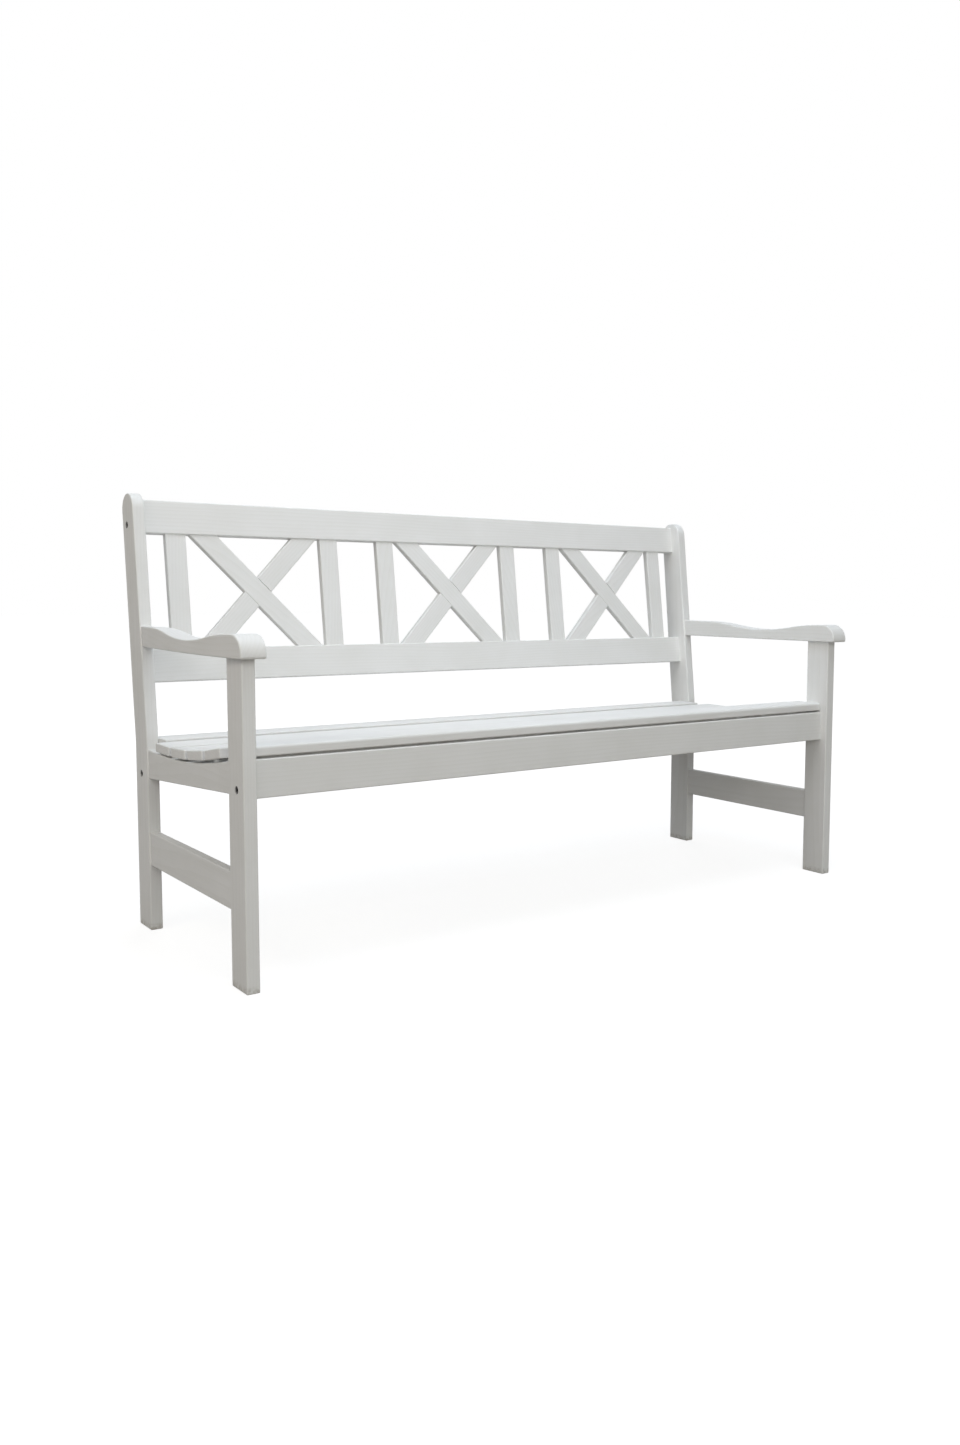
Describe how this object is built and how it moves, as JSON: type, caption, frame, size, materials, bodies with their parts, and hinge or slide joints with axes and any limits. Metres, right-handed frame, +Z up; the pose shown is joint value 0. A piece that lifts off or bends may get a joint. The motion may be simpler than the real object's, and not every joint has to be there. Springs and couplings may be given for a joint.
{
  "type": "garden bench",
  "caption": "White-painted wooden garden bench with a scooped slatted seat, shaped arms and a leaning back with crossed braces between uprights.",
  "frame": {"origin": "on the ground, in the middle of the bench's width and depth", "axes": "+X along the bench, to the right for someone who faces it; +Y from the front to the back; +Z up"},
  "size_m": [1.5174, 0.623, 0.869],
  "materials": {
    "painted_pine": "satin white paint on planed pine, faint grain, eased edges",
    "zinc_steel": "dark passivated zinc",
    "beech_dowel": "bare beech"
  },
  "bodies": {
    "root": {"arm_dowels": "beech_dowel", "armrest_left": "painted_pine", "armrest_right": "painted_pine", "back_upright_1": "painted_pine", "back_upright_2": "painted_pine", "back_upright_3": "painted_pine", "back_upright_4": "painted_pine", "back_upright_5": "painted_pine", "back_upright_6": "painted_pine", "barrel_nuts": "zinc_steel", "batten_dowels": "beech_dowel", "cross_brace_centre_a": "painted_pine", "cross_brace_centre_b": "painted_pine", "cross_brace_left_a": "painted_pine", "cross_brace_left_b": "painted_pine", "cross_brace_right_a": "painted_pine", "cross_brace_right_b": "painted_pine", "frame_bolts": "zinc_steel", "front_leg_left": "painted_pine", "front_leg_right": "painted_pine", "front_rail": "painted_pine", "lower_back_rail": "painted_pine", "rail_dowels": "beech_dowel", "rear_post_left": "painted_pine", "rear_post_right": "painted_pine", "rear_rail": "painted_pine", "seat_batten_centre": "painted_pine", "seat_batten_left": "painted_pine", "seat_batten_right": "painted_pine", "seat_slat_1": "painted_pine", "seat_slat_2": "painted_pine", "seat_slat_3": "painted_pine", "seat_slat_4": "painted_pine", "seat_slat_5": "painted_pine", "seat_slat_6": "painted_pine", "side_rail_left": "painted_pine", "side_rail_right": "painted_pine", "slat_screws": "zinc_steel", "stretcher_left": "painted_pine", "stretcher_right": "painted_pine", "top_back_rail": "painted_pine"}
  },
  "joints": []
}
